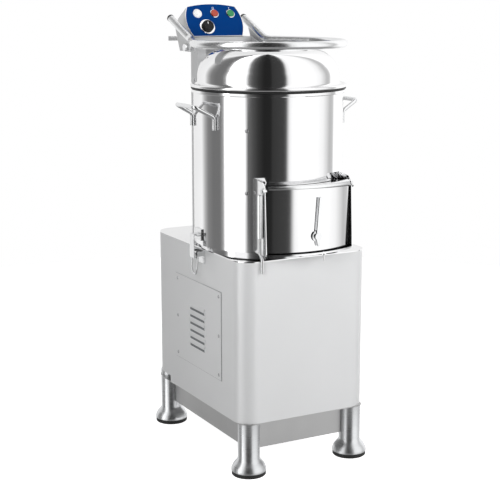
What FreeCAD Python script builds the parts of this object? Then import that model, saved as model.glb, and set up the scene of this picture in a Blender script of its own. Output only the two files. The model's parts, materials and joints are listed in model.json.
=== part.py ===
import FreeCAD, Part
import math
import os

# Electric potato peeler on a floor stand, in millimetres.
# X runs to the viewer's right, Y from the front to the back, Z up.
# The origin is on the floor, at the middle of the machine's footprint.

V = FreeCAD.Vector
X_AXIS = V(1, 0, 0)
Y_AXIS = V(0, 1, 0)
Z_AXIS = V(0, 0, 1)
RUN_GAP = 0.05       # radial clearance of a pin or shaft that turns in its hole
SLIDE_GAP = 0.5      # clearance beside a rod or button that slides
BODY_GAP = 0.4       # clearance between curved faces of two bodies

# Cabinet and floor stand
drum_overhang = 7.0          # how far the drum stands out past each side of the cabinet
front_margin = 9.5           # from the drum forward to the cabinet's front
rear_margin = 114.5          # from the drum back to the cabinet's rear wall
cabinet_bottom_z = 134.0
cabinet_top_z = 533.0
cabinet_corner_r = 45.0
cabinet_wall = 1.5
top_plate_t = 2.0
leg_side_inset = 33.0
leg_front_inset = 27.0
leg_rear_inset = 20.0
leg_r = 27.0
leg_wall = 2.0
leg_bell_r = 43.0
leg_bell_top_z = 41.0
leg_bell_rim_z = 16.5
pad_h = 10.0
pad_r = 42.0
tray_bottom_z = 62.0
tray_wall = 2.0
notch_h = 17.0
notch_half = 34.0

# Service panel in the left side of the cabinet
panel_y0 = -156.0
panel_y1 = 101.0
panel_z0 = 219.0
panel_z1 = 441.0
panel_t = 1.5
window_margin = 25.0
louvre_count = 6
louvre_pitch = 19.0
louvre_len = 86.0
louvre_y = -26.0
louvre_z = 325.0
screw_r = 4.5
screw_head_h = 2.0
screw_shank_r = 2.4
screw_inset = 12.0

# Drum
drum_y = -67.5
drum_r = 185.0
drum_wall = 1.5
drum_bottom_z = 543.0
drum_top_z = 922.0
base_ring_inset = 13.0
rim_out = 5.0
rim_h = 9.0
floor_z = 562.0
floor_t = 3.0
gate_half = 74.0
gate_z0 = 602.0
gate_z1 = 690.0
drain_angle = 40.6
drain_inset = 24.5
drain_r = 20.0
drain_wall = 1.6
drain_turn_r = 45.0
drain_z = 268.0
drain_out = 45.0

drum_bolt_angle = -45.0
bolt_high_on_drum = 834.0
bolt_low_on_drum = 686.0
seal_bore_r = 20.0
inlet_x = 85.0
inlet_z = 868.0
inlet_r = 9.5
inlet_bore_r = 7.0
inlet_free = 36.0
inlet_flange_r = 18.0
inlet_flange_t = 4.0
drain_collar_r = 27.0
drain_collar_t = 4.0

# Drive
disc_side_gap = 9.5
disc_z = 585.0
disc_t = 12.0
disc_wave_h = 14.0
shaft_r = 12.5
shaft_bottom_z = 404.0
nut_r = 24.0
nut_h = 22.0
housing_r = 39.0
housing_bottom_z = 445.0
housing_wall = 9.0
flange_r = 62.0
flange_t = 8.0
bearing_w = 15.0
seal_w = 8.0
pulley_z = 409.0
pulley_h = 22.0
big_pulley_r = 108.0
small_pulley_r = 34.0
groove_d = 7.0
belt_h = 12.0
belt_t = 8.0
motor_rear_gap = 36.0
motor_r = 68.0
motor_top_z = 374.0
motor_h = 190.0
motor_shaft_r = 9.5
mount_plate_t = 6.0
mount_front = 4.0
mount_rear = 10.0
mount_flange_h = 40.0
fin_h = 7.0
terminal_t = 32.0

gland_x = 96.0
gland_z = 190.0
gland_thread_r = 8.0
gland_bore_r = 4.5

# Side handles
handle_out = 42.0
handle_rod_r = 5.0
handle_half = 50.0
handle_leg_half = 60.0
handle_z = 887.0
handle_leg_top_z = 862.0
handle_leg_bottom_z = 832.0
handle_bend_r = 10.0

# Discharge chute and door
cheek_x = 120.0
cheek_t = 2.0
cheek_top_z = 724.0
cheek_bottom_z = 546.0
lip_out = 12.5
lip_t = 2.0
door_out = 43.0
door_t = 2.0
door_half = 113.0
door_bottom_gap = 4.5
door_roll_r = 6.0
hinge_gap = 9.0
hinge_z = 699.0
roof_rise = 5.0
door_roof_gap = 4.2
hinge_rod_r = 4.0
ear_t = 3.0
seal_t = 4.0
lever_x = 4.0
lever_z = 588.0
lever_len = 92.0
lever_hub_r = 13.0
lever_pin_r = 5.0
lever_t = 3.0
cam_t = 6.0
cam_gap = 4.0
stop_pin_x = 24.0
guide_r = 6.5
guide_top_z = 690.0
guide_bottom_z = 587.0
rod_r = 3.5
rod_end_z = 505.0
rod_crank = 9.0
rod_sunk = 12.0
rod_bend_r = 6.0
rod_wall_gap = 2.0

# Toggle latches on both sides
latch_y = -50.0
latch_pivot_z = 522.0
latch_half = 20.0
latch_wire_r = 2.0
latch_out = 17.0
latch_lever_len = 52.0
bail_drop = 9.0
bail_top_z = 571.0
keeper_half = 20.0

# Rear column, shelf and control box
column_half = 46.0
column_depth = 42.0
column_sheet = 2.0
column_flange = 24.0
column_bottom_z = 260.0
column_top_z = 1030.0
shelf_z = 1034.0
shelf_t = 3.0
shelf_half = 96.0
shelf_front_out = 42.0
shelf_rear_out = 34.0
lip_h = 9.0
stem_top_gap = 1.0
stem_bottom_z = 850.0
bolt_z_low = 869.0
bolt_z_high = 923.0
face_inset_y = 13.0
face_rise = 4.0
face_tilt = 30.6
face_low_half = 72.0
face_mid_half = 82.5
face_mid_v = 50.0
face_top_half = 70.0
face_top_v = 88.5
face_arc_v = 96.4
box_depth = 61.0
box_wall = 1.5
face_t = 1.5
face_inset = 1.2

# Controls, as places on the control face: across, up
lamp_at = (-45.0, 67.0)
stop_at = (4.6, 66.6)
start_at = (52.0, 66.0)
timer_at = (-25.3, 28.0)
lamp_r = 12.3
bezel_r = 12.3
bezel_h = 3.0
button_r = 10.0
button_out = 5.0
button_stem = 14.0
knob_r = 16.0
knob_h = 8.0
dial_r = 21.5
dial_h = 2.5
switch_body = 26.0
switch_h = 28.0
button_travel = 3.0
knob_stem_r = 4.0
knob_stem_len = 30.0
timer_body_r = 13.0
timer_body_h = 16.0

# Lid, its tubular bow and hinge
lid_inset = 10.0
bow_inset = 1.0
lid_wall = 1.5
lid_rim_out = 3.0
lid_rim_h = 8.0
lid_gasket_t = 3.5
lid_shoulder_r = 65.0
lid_shoulder_z = 951.0
lid_plate_over = 2.0
lid_plate_t = 4.0
bow_tube_r = 9.5
bow_lift = 1.5
arm_x = 108.0
bend_behind_bow = 23.5
arm_end_inset = 6.0
arm_end_z = 1086.0
arm_bend_r = 60.0
bridge_w = 36.0
bridge_t = 5.0
pivot_behind_lid = 39.5
pivot_drop = 18.0
pivot_r = 5.0
lug_t = 4.0
ear_plate_t = 3.0

# Sizes that follow from those above
cabinet_half = drum_r - drum_overhang
cabinet_front_y = drum_y - drum_r - front_margin
cabinet_rear_y = drum_y + drum_r + rear_margin
leg_x = cabinet_half - leg_side_inset
leg_front_y = cabinet_front_y + leg_front_inset
leg_rear_y = cabinet_rear_y - leg_rear_inset
base_ring_r = drum_r - base_ring_inset
rim_r = drum_r + rim_out
disc_r = drum_r - drum_wall - disc_side_gap
drain_reach = base_ring_r - drain_inset
drain_x = drain_reach * math.cos(math.radians(drain_angle))
drain_y = drum_y + drain_reach * math.sin(math.radians(drain_angle))
motor_y = cabinet_rear_y - motor_rear_gap - motor_r
mount_plate_y0 = motor_y - motor_r - mount_front
mount_plate_y1 = motor_y + motor_r + mount_rear
handle_x = drum_r + handle_out
door_r = drum_r + door_out
lip_r = door_r + lip_out
hinge_y = drum_y - drum_r - hinge_gap
column_front_y = cabinet_rear_y
column_rear_y = column_front_y + column_depth
shelf_front_y = column_front_y - shelf_front_out
shelf_rear_y = column_rear_y + shelf_rear_out
face_y = shelf_front_y + face_inset_y
face_z = shelf_z + face_rise
lid_r = drum_r - lid_inset
lid_rim_r = rim_r + lid_rim_out
lid_seat_z = drum_top_z + lid_gasket_t
lid_top_z = lid_shoulder_z + lid_shoulder_r
lid_plate_r = lid_r - lid_shoulder_r + lid_plate_over
bow_r = drum_r - bow_inset
bow_z = lid_top_z + lid_plate_t + bow_lift + bow_tube_r
arm_bend_y = drum_y + bow_r + bend_behind_bow
arm_end_y = column_rear_y - arm_end_inset
pivot_y = drum_y + lid_rim_r + pivot_behind_lid
pivot_z = bow_z - pivot_drop
sin_t = math.sin(math.radians(face_tilt))
cos_t = math.cos(math.radians(face_tilt))

parts = {}


# Basic shapes
def block(x0, x1, y0, y1, z0, z1):
    return Part.makeBox(x1 - x0, y1 - y0, z1 - z0, V(x0, y0, z0))


def rod(r, h, at, way=Z_AXIS):
    return Part.makeCylinder(r, h, at, way)


def ring(outer, inner, h, at, way=Z_AXIS):
    return rod(outer, h, at, way).cut(rod(inner, h, at, way))


def polygon(points):
    return Part.Face(Part.makePolygon(points + [points[0]]))


def plate_x(outline, x0, x1):
    # a plate square to X, from an outline of (y, z) points
    return polygon([V(x0, y, z) for y, z in outline]).extrude(V(x1 - x0, 0, 0))


def spin(profile, at):
    # a turned solid about the vertical through at, from (r, z) points
    face = polygon([V(at.x + r, at.y, z) for r, z in profile])
    return face.revolve(V(at.x, at.y, 0), Z_AXIS, 360)


def bent_path(points, bend):
    # straight runs joined by tangent arcs of radius bend at each inner point
    edges = []
    start = points[0]
    for before, corner, after in zip(points, points[1:], points[2:]):
        a = (before - corner).normalize()
        b = (after - corner).normalize()
        half = a.getAngle(b) / 2
        back = bend / math.tan(half)
        first = corner + a * back
        last = corner + b * back
        centre_way = (a + b).normalize()
        middle = corner + centre_way * (bend / math.sin(half) - bend)
        edges.append(Part.LineSegment(start, first).toShape())
        edges.append(Part.Arc(first, middle, last).toShape())
        start = last
    edges.append(Part.LineSegment(start, points[-1]).toShape())
    return Part.Wire(edges)


def sweep_round(path, r):
    first = path.Edges[0]
    at = first.valueAt(first.FirstParameter)
    way = first.tangentAt(first.FirstParameter)
    maker = Part.BRepOffsetAPI.MakePipeShell(path)
    maker.add(Part.Wire([Part.makeCircle(r, at, way)]))
    maker.build()
    maker.makeSolid()
    return maker.shape()


def rod_along(points, r, bend):
    return sweep_round(bent_path(points, bend), r)


def one(shapes):
    whole = shapes[0]
    for shape in shapes[1:]:
        whole = whole.fuse(shape)
    return whole.removeSplitter()


def group(shapes):
    return Part.makeCompound(shapes)


def rounded_block(half_x, y0, y1, z0, z1, r):
    solid = block(-half_x, half_x, y0, y1, z0, z1)
    upright = [e for e in solid.Edges if abs(e.tangentAt(e.FirstParameter).z) > 0.9]
    return solid.makeFillet(r, upright)


def sector(r_out, r_in, half_width, z0, z1):
    # a strip of a tube about the drum's axis, on its front side
    at = V(0, drum_y, z0)
    strip = ring(r_out, r_in, z1 - z0, at)
    keep = block(-half_width, half_width, drum_y - r_out - 1, drum_y - 0.5 * r_in, z0, z1)
    return strip.common(keep)


def dome_screw(at, way):
    head = Part.makeSphere(screw_r * 1.4, at - way * (screw_r * 1.4 - screw_head_h), way)
    head = head.common(rod(screw_r, screw_head_h, at, way))
    grip = rod(screw_shank_r, 5.0, at - way * 5.0, way)
    return head.fuse(grip).removeSplitter()


# Cabinet
def make_cabinet():
    shell_top = cabinet_top_z - top_plate_t
    outer = rounded_block(cabinet_half, cabinet_front_y, cabinet_rear_y,
                          cabinet_bottom_z, shell_top, cabinet_corner_r)
    shell = outer.cut(cabinet_space(cabinet_bottom_z, shell_top))
    m = window_margin
    window = block(-cabinet_half - 1, -cabinet_half + 5, panel_y0 + m, panel_y1 - m,
                   panel_z0 + m, panel_z1 - m)
    shell = shell.cut(window)
    for side in (-1, 1):
        x0 = side * cabinet_half
        notch = block(min(x0, x0 - side * 12), max(x0, x0 - side * 12),
                      leg_rear_y - 2 * notch_half, leg_rear_y,
                      cabinet_bottom_z, cabinet_bottom_z + notch_h)
        shell = shell.cut(notch)
        shell = shell.cut(rod(leg_r + BODY_GAP, notch_h, V(side * leg_x, leg_rear_y, cabinet_bottom_z)))
    for y, z in screw_places():
        shell = shell.cut(rod(screw_shank_r, 6, V(-cabinet_half - 1, y, z), X_AXIS))
    rear = V(drain_x, cabinet_rear_y - 3, drain_z)
    shell = shell.cut(rod(drain_r, 5, rear, Y_AXIS))
    gland_hole = V(gland_x, cabinet_rear_y - 3, gland_z)
    shell = shell.cut(rod(gland_thread_r, 5, gland_hole, Y_AXIS))
    for side in (-1, 1):
        shell = shell.cut(rod(latch_pin_r(), 6, V(side * cabinet_half - 3, latch_y,
                                                  latch_plate_mid_z()), X_AXIS))
    parts["cabinet_shell"] = shell

    plate = rounded_block(cabinet_half, cabinet_front_y, cabinet_rear_y,
                          shell_top, cabinet_top_z, cabinet_corner_r)
    plate = plate.cut(rod(housing_r + BODY_GAP, 9, V(0, drum_y, shell_top - 1)))
    plate = plate.cut(rod(drain_r + BODY_GAP, 9, V(drain_x, drain_y, shell_top - 1)))
    parts["cabinet_top"] = plate


def cabinet_space(z0, z1):
    # the room inside the cabinet's wall between two heights
    t = cabinet_wall
    return rounded_block(cabinet_half - t, cabinet_front_y + t, cabinet_rear_y - t,
                         z0, z1, cabinet_corner_r - t)


def screw_places():
    zs = [panel_z0 + screw_inset, (panel_z0 + panel_z1) / 2, panel_z1 - screw_inset]
    ys = [panel_y0 + screw_inset, panel_y1 - screw_inset]
    return [(y, z) for y in ys for z in zs]


def latch_pin_r():
    return screw_shank_r


def latch_plate_mid_z():
    return latch_pivot_z - 16.0


# Floor stand: a tray between four flared legs
def leg_places():
    return {"front_left_leg": (-leg_x, leg_front_y), "front_right_leg": (leg_x, leg_front_y),
            "rear_left_leg": (-leg_x, leg_rear_y), "rear_right_leg": (leg_x, leg_rear_y)}


def make_stand():
    half = leg_x + tray_wall / 2
    y0 = leg_front_y - tray_wall / 2
    y1 = leg_rear_y + tray_wall / 2
    flange_bottom = cabinet_bottom_z - tray_wall
    outer = block(-half, half, y0, y1, tray_bottom_z, flange_bottom)
    inner = block(-half + tray_wall, half - tray_wall, y0 + tray_wall, y1 - tray_wall,
                  tray_bottom_z + tray_wall, cabinet_bottom_z)
    frame = rounded_block(cabinet_half, cabinet_front_y, cabinet_rear_y,
                          flange_bottom, cabinet_bottom_z, cabinet_corner_r)
    lands = [rod(leg_r + 2, tray_wall, V(x, y, flange_bottom)) for x, y in leg_places().values()]
    tray = one([outer.cut(inner), frame] + lands).cut(inner)
    pads = []
    for name, (x, y) in leg_places().items():
        rear = name.startswith("rear")
        leg_top = rear_leg_top() if rear else flange_bottom
        tray = tray.cut(rod(leg_r, leg_top, V(x, y, 0)))
        parts[name] = make_leg(leg_top, V(x, y, 0))
        plug = leg_bell_rim_z - 1
        pads.append(spin([(0, 0), (pad_r - 2, 0), (pad_r, 2), (pad_r, pad_h),
                          (pad_r - 6, pad_h), (pad_r - 6, plug), (0, plug)], V(x, y, 0)))
    parts["base_tray"] = tray
    parts["leg_pads"] = group(pads)


def rear_leg_top():
    return cabinet_bottom_z + notch_h - 1.0


def make_leg(top, at):
    # a tube with a capped top; its foot flares like a cone that rounds over above the pad
    flare = [(0, 0), (0.19, 0.20), (0.59, 0.57), (0.88, 0.82), (1, 1)]
    drop = leg_bell_top_z - leg_bell_rim_z
    outer = [(leg_r + (leg_bell_r - leg_r) * f, leg_bell_top_z - drop * g) for f, g in flare]
    return spin([(leg_r - leg_wall, leg_bell_top_z), (leg_r - leg_wall, top - leg_wall),
                 (0, top - leg_wall), (0, top), (leg_r, top)] + outer +
                [(leg_bell_r, pad_h), (pad_r - 6, pad_h), (pad_r - 6, leg_bell_rim_z),
                 (leg_r - leg_wall, leg_bell_top_z - leg_wall)], at)


# Service panel with pressed louvres
def make_service_panel():
    x1 = -cabinet_half
    x0 = x1 - panel_t
    panel = block(x0, x1, panel_y0, panel_y1, panel_z0, panel_z1)
    first = louvre_z - louvre_pitch * (louvre_count - 1) / 2
    hood_h = 9.0
    hood_out = 4.0
    for i in range(louvre_count):
        z = first + i * louvre_pitch
        y0 = louvre_y - louvre_len / 2
        outline = [(x0 + 0.5, z), (x0 - hood_out, z), (x0 + 0.5, z + hood_h)]
        hood = polygon([V(x, y0, h) for x, h in outline]).extrude(V(0, louvre_len, 0))
        panel = panel.fuse(hood)
        slot = [(x1 + 1, z - 1), (x0 - hood_out + 2, z - 1), (x0 - hood_out + 2, z + 1),
                (x1 + 1, z + hood_h)]
        cut = polygon([V(x, y0 + 1.5, h) for x, h in slot]).extrude(V(0, louvre_len - 3, 0))
        panel = panel.cut(cut)
    for y, z in screw_places():
        panel = panel.cut(rod(screw_shank_r, 9, V(x0 - 2, y, z), X_AXIS))
    parts["service_panel"] = panel.removeSplitter()


# Drum, its floor and rim
def make_drum():
    at = V(0, drum_y, drum_bottom_z)
    shell = ring(drum_r, drum_r - drum_wall, drum_top_z - drum_bottom_z, at)
    gate = block(-gate_half, gate_half, drum_y - drum_r - 2, drum_y - drum_r / 2, gate_z0, gate_z1)
    gate = gate.makeFillet(8, [e for e in gate.Edges if abs(e.tangentAt(e.FirstParameter).y) > 0.9])
    shell = shell.cut(gate)
    shell = shell.cut(rod(inlet_r, drum_r, V(inlet_x, drum_y, inlet_z), Y_AXIS))
    for z in (bolt_low_on_drum, bolt_high_on_drum):
        place, way = on_drum(drum_bolt_angle, z, drum_r)
        shell = shell.cut(rod(screw_shank_r, 6, place - way * 4, way))
    r = drum_r - drum_wall / 2
    rim = spin([(r, drum_top_z - rim_h), (rim_r - 1.5, drum_top_z - rim_h),
                (rim_r, drum_top_z - rim_h + 1.5), (rim_r, drum_top_z - 1.5),
                (rim_r - 1.5, drum_top_z), (r, drum_top_z)], V(0, drum_y, 0))
    parts["drum_shell"] = one([shell, rim])

    inside = drum_r - drum_wall
    floor = rod(inside, floor_t, V(0, drum_y, floor_z))
    skirt = ring(base_ring_r, base_ring_r - 3, floor_z - cabinet_top_z, V(0, drum_y, cabinet_top_z))
    pan = floor.fuse(skirt)
    pan = pan.cut(rod(seal_bore_r, 30, V(0, drum_y, floor_z - 5)))
    pan = pan.cut(rod(drain_r - drain_wall, 30, V(drain_x, drain_y, floor_z - 5)))
    parts["drum_base"] = pan.removeSplitter()


def on_drum(angle, z, r):
    # place and outward direction on the drum, the angle from the front towards +X
    a = math.radians(angle)
    way = V(math.sin(a), -math.cos(a), 0)
    return V(0, drum_y, z) + way * r, way


# Drive: disc, shaft, bearings, pulleys, belt and motor
def make_drive():
    centre = V(0, drum_y, 0)
    disc = spin([(shaft_r, disc_z), (disc_r, disc_z), (disc_r, disc_z + disc_t - 3),
                 (disc_r - 3, disc_z + disc_t), (shaft_r, disc_z + disc_t)], centre)
    for i in range(3):
        wave = block(-18, 18, 45, disc_r - 14, disc_z + disc_t - 1, disc_z + disc_t + disc_wave_h - 1)
        long_edges = [e for e in wave.Edges
                      if abs(e.tangentAt(e.FirstParameter).y) > 0.9 and e.CenterOfMass.z > disc_z + disc_t]
        wave = wave.makeFillet(11, long_edges)
        wave.translate(V(0, drum_y, 0))
        wave.rotate(V(0, drum_y, 0), Z_AXIS, 120 * i)
        disc = disc.fuse(wave)
    parts["abrasive_disc"] = disc.removeSplitter()

    top = disc_z + disc_t
    parts["disc_nut"] = spin([(0, top), (nut_r, top), (nut_r, top + 6), (nut_r - 9, top + nut_h),
                              (0, top + nut_h)], centre).cut(rod(shaft_r - 3, 12, V(0, drum_y, top - 1)))
    collar = shaft_r + 4
    parts["main_shaft"] = spin([(0, shaft_bottom_z), (shaft_r, shaft_bottom_z), (shaft_r, disc_z - 6),
                                (collar, disc_z - 6), (collar, disc_z), (shaft_r, disc_z),
                                (shaft_r, top), (shaft_r - 3, top), (shaft_r - 3, top + 10),
                                (0, top + 10)], centre)

    bore = housing_r - housing_wall
    flange_z = floor_z - flange_t
    housing = spin([(bore, housing_bottom_z), (housing_r, housing_bottom_z), (housing_r, flange_z),
                    (flange_r, flange_z), (flange_r, floor_z), (bore, floor_z)], centre)
    for i in range(4):
        hole = rod(3.3, 20, V(flange_r - 11, drum_y, flange_z - 5))
        hole.rotate(centre, Z_AXIS, 45 + 90 * i)
        housing = housing.cut(hole)
    parts["bearing_housing"] = housing
    low = housing_bottom_z + 4
    high = flange_z - bearing_w - 4
    parts["shaft_bearings"] = group([bearing(z, bore) for z in (low, high)])
    parts["shaft_seal"] = spin([(shaft_r + RUN_GAP, floor_z - seal_w), (bore, floor_z - seal_w),
                                (bore, floor_z), (seal_bore_r, floor_z),
                                (seal_bore_r, floor_z + floor_t), (shaft_r + RUN_GAP, floor_z + floor_t)],
                               centre)

    parts["drum_pulley"] = pulley(big_pulley_r, shaft_r, centre)
    motor_at = V(0, motor_y, 0)
    parts["motor_pulley"] = pulley(small_pulley_r, motor_shaft_r, motor_at)
    parts["drive_belt"] = belt()
    make_motor(motor_at)


def bearing(z, outer):
    return spin([(shaft_r + RUN_GAP, z), (outer, z), (outer, z + bearing_w),
                 (shaft_r + RUN_GAP, z + bearing_w)], V(0, drum_y, 0))


def pulley(r, bore, at):
    z0 = pulley_z
    z1 = pulley_z + pulley_h
    lip = (pulley_h - belt_h) / 2 - BODY_GAP
    bed = r - groove_d
    return spin([(bore, z0), (r, z0), (r, z0 + lip), (bed, z0 + lip), (bed, z1 - lip),
                 (r, z1 - lip), (r, z1), (bore, z1)], at)


def belt_outline(extra):
    # two arcs round the pulleys and the two straight runs between them
    r1 = big_pulley_r - groove_d + extra
    r2 = small_pulley_r - groove_d + extra
    span = motor_y - drum_y
    lean = math.asin((r1 - r2) / span)
    c, s = math.cos(lean), math.sin(lean)
    z = pulley_z + (pulley_h - belt_h) / 2
    big = [V(side * r1 * c, drum_y + r1 * s, z) for side in (-1, 1)]
    small = [V(side * r2 * c, motor_y + r2 * s, z) for side in (-1, 1)]
    edges = [Part.Arc(big[0], V(0, drum_y - r1, z), big[1]).toShape(),
             Part.LineSegment(big[1], small[1]).toShape(),
             Part.Arc(small[1], V(0, motor_y + r2, z), small[0]).toShape(),
             Part.LineSegment(small[0], big[0]).toShape()]
    return Part.Face(Part.Wire(edges))


def belt():
    outer = belt_outline(BODY_GAP + belt_t).extrude(V(0, 0, belt_h))
    inner = belt_outline(BODY_GAP).extrude(V(0, 0, belt_h))
    return outer.cut(inner)


def make_motor(at):
    plate_z = motor_top_z
    half = cabinet_half - cabinet_wall
    side_y1 = cabinet_rear_y - cabinet_corner_r
    web = block(-half, half, mount_plate_y0, mount_plate_y1, plate_z, plate_z + mount_plate_t)
    web = web.cut(rod(motor_shaft_r + 8, 20, V(at.x, at.y, plate_z - 5)))
    web = web.common(cabinet_space(plate_z, plate_z + mount_plate_t))
    sides = [block(x - 1.5, x + 1.5, mount_plate_y0, side_y1, plate_z - mount_flange_h, plate_z)
             for x in (-half + 1.5, half - 1.5)]
    parts["motor_bracket"] = one([web] + sides)
    bottom = motor_top_z - motor_h
    bell = 14.0
    body = spin([(motor_shaft_r + BODY_GAP, bottom + bell), (motor_r - 6, bottom + bell),
                 (motor_r, bottom + bell + 8), (motor_r, motor_top_z),
                 (motor_shaft_r + BODY_GAP, motor_top_z)], at)
    for i in range(24):
        fin = block(-1.25, 1.25, motor_r - 1, motor_r + fin_h, bottom + bell + 22, motor_top_z - 22)
        fin.translate(at)
        fin.rotate(at, Z_AXIS, 15 * i)
        body = body.fuse(fin)
    parts["motor_housing"] = body.removeSplitter()
    hood = spin([(0, bottom - 24), (motor_r - 2, bottom - 24), (motor_r + 2, bottom - 20),
                 (motor_r + 2, bottom + bell + 8), (motor_r, bottom + bell + 8),
                 (motor_r, bottom - 18), (0, bottom - 18)], at)
    parts["fan_cowl"] = hood
    shaft_end = pulley_z + pulley_h + 4
    shaft = rod(motor_shaft_r, shaft_end - bottom + 4, V(at.x, at.y, bottom - 4))
    parts["motor_rotor"] = one([shaft, fan(at, bottom)])
    x1 = -motor_r - fin_h
    z = (bottom + motor_top_z) / 2
    parts["terminal_box"] = block(x1 - terminal_t, x1, at.y - 34, at.y + 34, z - 38, z + 38)


def fan(at, bottom):
    hub = ring(motor_shaft_r + 8, motor_shaft_r, 10, V(at.x, at.y, bottom - 4))
    for i in range(6):
        blade = block(-1.5, 1.5, motor_shaft_r + 6, motor_r - 12, bottom - 4, bottom + 6)
        blade.translate(at)
        blade.rotate(at, Z_AXIS, 60 * i)
        hub = hub.fuse(blade)
    return hub.removeSplitter()


# Water connections and cable entry
def make_services():
    at = V(drain_x, drain_y, floor_z)
    low = V(at.x, at.y, drain_z)
    out = V(at.x, cabinet_rear_y + drain_out, drain_z)
    outer = rod_along([at, low, out], drain_r, drain_turn_r)
    inner = rod_along([at, low, out], drain_r - drain_wall, drain_turn_r)
    collar = rod(drain_collar_r, drain_collar_t, V(at.x, cabinet_rear_y, drain_z), Y_AXIS)
    parts["drain_pipe"] = one([outer, collar]).cut(inner)

    start = V(inlet_x, drum_y, inlet_z)
    flange_end = inlet_flange_end_y() - drum_y
    tail = rod(inlet_r, flange_end + inlet_free, start, Y_AXIS)
    tail = tail.cut(rod(drum_r - drum_wall, 4 * inlet_flange_r, start_below(start)))
    flange = rod(inlet_flange_r, flange_end, start, Y_AXIS)
    flange = flange.cut(rod(drum_r, 4 * inlet_flange_r, start_below(start)))
    nozzle = tail.fuse(flange)
    nozzle = nozzle.cut(rod(inlet_bore_r, drum_r + inlet_free, start, Y_AXIS))
    parts["water_inlet"] = nozzle.removeSplitter()

    wall = cabinet_rear_y
    hexagon = [V(gland_x + 13 * math.cos(math.radians(60 * i)), wall,
                 gland_z + 13 * math.sin(math.radians(60 * i))) for i in range(6)]
    nut = polygon(hexagon).extrude(V(0, 8, 0))
    thread = rod(gland_thread_r, 10, V(gland_x, wall - 10, gland_z), Y_AXIS)
    cap = Part.makeCone(11, 7.5, 13, V(gland_x, wall + 8, gland_z), Y_AXIS)
    gland = one([nut, thread, cap])
    parts["cable_gland"] = gland.cut(rod(gland_bore_r, 40, V(gland_x, wall - 12, gland_z), Y_AXIS))


def inlet_flange_end_y():
    # just behind the drum's wall at the flange's inner edge
    near_x = inlet_x - inlet_flange_r
    return drum_y + math.sqrt(drum_r ** 2 - near_x ** 2) + inlet_flange_t


def start_below(at):
    return V(0, drum_y, at.z - 2 * inlet_flange_r)


# Side handles, bent from round rod and welded to the drum
def make_handles():
    handles = []
    leg = drum_r + handle_rod_r
    for side in (-1, 1):
        a = math.asin(handle_leg_half / leg)
        lx = side * leg * math.cos(a)
        points = [V(lx, drum_y - handle_leg_half, handle_leg_bottom_z),
                  V(lx, drum_y - handle_leg_half, handle_leg_top_z),
                  V(side * handle_x, drum_y - handle_half, handle_z),
                  V(side * handle_x, drum_y + handle_half, handle_z),
                  V(lx, drum_y + handle_leg_half, handle_leg_top_z),
                  V(lx, drum_y + handle_leg_half, handle_leg_bottom_z)]
        handles.append(rod_along(points, handle_rod_r, handle_bend_r))
    parts["side_handles"] = group(handles)


# Discharge chute: two cheeks and a floor lip, welded to the drum
def make_chute():
    y_drum = drum_y - math.sqrt(drum_r ** 2 - (cheek_x - cheek_t) ** 2)
    y_top = hinge_y - 2
    y_low = drum_y - math.sqrt(lip_r ** 2 - cheek_x ** 2) + 1.5
    outline = [(y_drum, cheek_bottom_z), (y_low, cheek_bottom_z), (y_top - 3, hinge_z + 8),
               (y_top + 9, cheek_top_z - 5), (y_drum + 4, cheek_top_z)]
    cheeks = []
    for side in (-1, 1):
        x0 = side * cheek_x
        x1 = side * (cheek_x - cheek_t)
        cheek = plate_x(outline, min(x0, x1), max(x0, x1))
        cheek = cheek.cut(rod(drum_r, 400, V(0, drum_y, cheek_bottom_z - 10)))
        cheek = cheek.cut(rod(hinge_rod_r, 20, V(x0 - 10, hinge_y, hinge_z), X_AXIS))
        cheeks.append(cheek)
    parts["chute_cheeks"] = group(cheeks)

    inner_half = cheek_x - cheek_t
    lip = sector(lip_r, drum_r, inner_half, cheek_bottom_z, cheek_bottom_z + lip_t)
    turned_up = sector(lip_r, lip_r - lip_t, inner_half, cheek_bottom_z, cheek_bottom_z + 2 * lip_t)
    pin_y = drum_y - math.sqrt((lip_r - 9) ** 2 - stop_pin_x ** 2)
    stem = rod(3.0, 22, V(stop_pin_x, pin_y, cheek_bottom_z - 18))
    nut = rod(6.0, 4, V(stop_pin_x, pin_y, cheek_bottom_z - 4))
    parts["chute_floor"] = one([lip, turned_up, stem, nut])

    end = cheek_x + 7
    bar = rod(hinge_rod_r, 2 * end, V(-end, hinge_y, hinge_z), X_AXIS)
    caps = [rod(7, 5, V(x, hinge_y, hinge_z), X_AXIS) for x in (-cheek_x - 5, cheek_x)]
    parts["door_hinge_rod"] = one([bar] + caps)


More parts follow.
